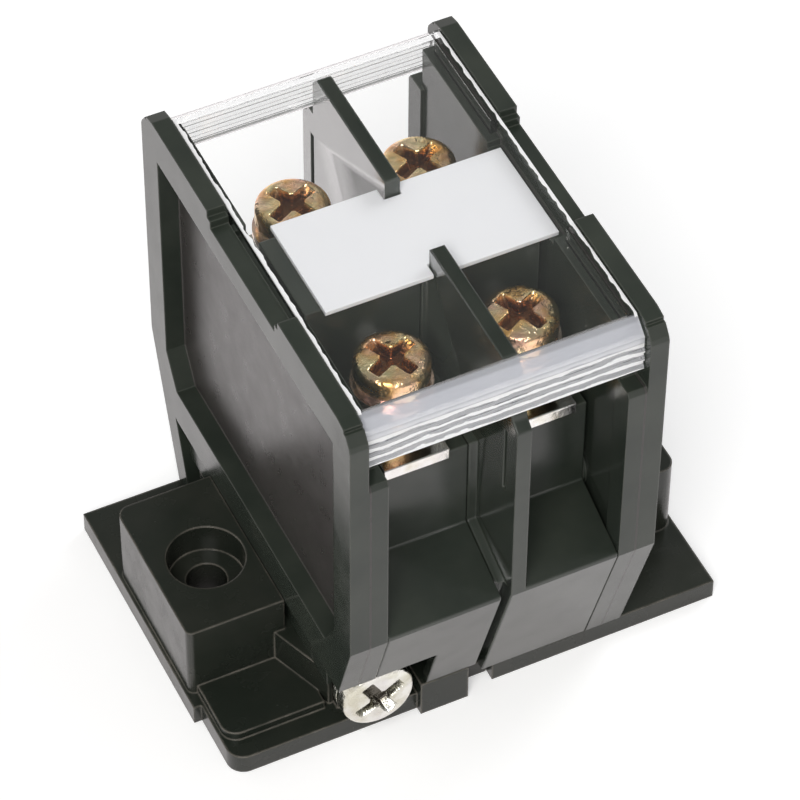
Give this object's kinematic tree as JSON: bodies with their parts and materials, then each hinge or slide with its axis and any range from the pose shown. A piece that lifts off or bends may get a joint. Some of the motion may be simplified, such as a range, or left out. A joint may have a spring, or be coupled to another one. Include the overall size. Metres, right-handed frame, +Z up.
{
  "type": "barrier terminal strip",
  "caption": "Heavy-duty barrier terminal strip with screw terminals in black moulded housings, a clear push-on cover, a blank marking strip and screw-down mounting feet.",
  "frame": {"origin": "centre of the footprint on the mounting surface", "axes": "+X along the strip from the left pole to the right pole, +Y from the front wire bays to the back ones, +Z up from the mounting surface"},
  "size_m": [0.1184, 0.1026, 0.1126],
  "materials": {
    "housing_black": "moulded black resin, low sheen",
    "foot_black": "moulded brown-black resin, low sheen",
    "plated_brass": "plated, satin",
    "gold_steel": "yellow-passivated zinc plating",
    "zinc_steel": "bright zinc plating",
    "clear_plastic": "clear, polished",
    "white_plastic": "smooth white sheet"
  },
  "bodies": {
    "strip": {"left_end_wall": "housing_black", "right_end_wall": "housing_black", "left_pole_housing": "housing_black", "right_pole_housing": "housing_black", "left_foot": "foot_black", "right_foot": "foot_black", "left_terminal_bar": "plated_brass", "right_terminal_bar": "plated_brass", "front_left_nut": "zinc_steel", "front_right_nut": "zinc_steel", "back_left_nut": "zinc_steel", "back_right_nut": "zinc_steel", "left_foot_nut": "zinc_steel", "right_foot_nut": "zinc_steel", "front_tie_screw": "zinc_steel", "back_tie_screw": "zinc_steel", "front_tie_nut": "zinc_steel", "back_tie_nut": "zinc_steel", "cover": "clear_plastic", "marking_strip": "white_plastic"},
    "front_left_washers": {"front_left_washer": "gold_steel", "front_left_spring_washer": "gold_steel"},
    "front_left_screw": {"front_left_screw": "gold_steel"},
    "front_right_washers": {"front_right_washer": "gold_steel", "front_right_spring_washer": "gold_steel"},
    "front_right_screw": {"front_right_screw": "gold_steel"},
    "back_left_washers": {"back_left_washer": "gold_steel", "back_left_spring_washer": "gold_steel"},
    "back_left_screw": {"back_left_screw": "gold_steel"},
    "back_right_washers": {"back_right_washer": "gold_steel", "back_right_spring_washer": "gold_steel"},
    "back_right_screw": {"back_right_screw": "gold_steel"},
    "left_foot_washer": {"left_foot_washer": "zinc_steel"},
    "left_foot_screw": {"left_foot_screw": "zinc_steel"},
    "right_foot_washer": {"right_foot_washer": "zinc_steel"},
    "right_foot_screw": {"right_foot_screw": "zinc_steel"}
  },
  "joints": [
    {"name": "front_left_lift", "type": "slide", "parent": "strip", "child": "front_left_washers", "axis": [0, 0, 1], "range_m": [-0.01, 0.0025]},
    {"name": "front_left_turn", "type": "hinge", "parent": "front_left_washers", "child": "front_left_screw", "pos_m": [-0.01325, -0.024, 0.093], "axis": [0, 0, 1], "range_deg": [-2880, 720]},
    {"name": "front_right_lift", "type": "slide", "parent": "strip", "child": "front_right_washers", "axis": [0, 0, 1], "range_m": [-0.01, 0.0025]},
    {"name": "front_right_turn", "type": "hinge", "parent": "front_right_washers", "child": "front_right_screw", "pos_m": [0.01605, -0.024, 0.093], "axis": [0, 0, 1], "range_deg": [-2880, 720]},
    {"name": "back_left_lift", "type": "slide", "parent": "strip", "child": "back_left_washers", "axis": [0, 0, 1], "range_m": [-0.01, 0.0025]},
    {"name": "back_left_turn", "type": "hinge", "parent": "back_left_washers", "child": "back_left_screw", "pos_m": [-0.01325, 0.024, 0.093], "axis": [0, 0, 1], "range_deg": [-2880, 720]},
    {"name": "back_right_lift", "type": "slide", "parent": "strip", "child": "back_right_washers", "axis": [0, 0, 1], "range_m": [-0.01, 0.0025]},
    {"name": "back_right_turn", "type": "hinge", "parent": "back_right_washers", "child": "back_right_screw", "pos_m": [0.01605, 0.024, 0.093], "axis": [0, 0, 1], "range_deg": [-2880, 720]},
    {"name": "left_foot_draw", "type": "slide", "parent": "strip", "child": "left_foot_washer", "axis": [0, -1, 0], "range_m": [0, 0.005]},
    {"name": "left_foot_turn", "type": "hinge", "parent": "left_foot_washer", "child": "left_foot_screw", "pos_m": [-0.0255, -0.0401, 0.0164], "axis": [0, -1, 0], "range_deg": [0, 1440]},
    {"name": "right_foot_draw", "type": "slide", "parent": "strip", "child": "right_foot_washer", "axis": [0, 1, 0], "range_m": [0, 0.005]},
    {"name": "right_foot_turn", "type": "hinge", "parent": "right_foot_washer", "child": "right_foot_screw", "pos_m": [0.0255, 0.0401, 0.0164], "axis": [0, 1, 0], "range_deg": [0, 1440]}
  ],
  "couplings": [
    {"joint": "front_left_turn", "follows": "front_left_lift", "rad_per_m": 5026.5},
    {"joint": "front_right_turn", "follows": "front_right_lift", "rad_per_m": 5026.5},
    {"joint": "back_left_turn", "follows": "back_left_lift", "rad_per_m": 5026.5},
    {"joint": "back_right_turn", "follows": "back_right_lift", "rad_per_m": 5026.5},
    {"joint": "left_foot_turn", "follows": "left_foot_draw", "rad_per_m": 5026.5},
    {"joint": "right_foot_turn", "follows": "right_foot_draw", "rad_per_m": 5026.5}
  ]
}
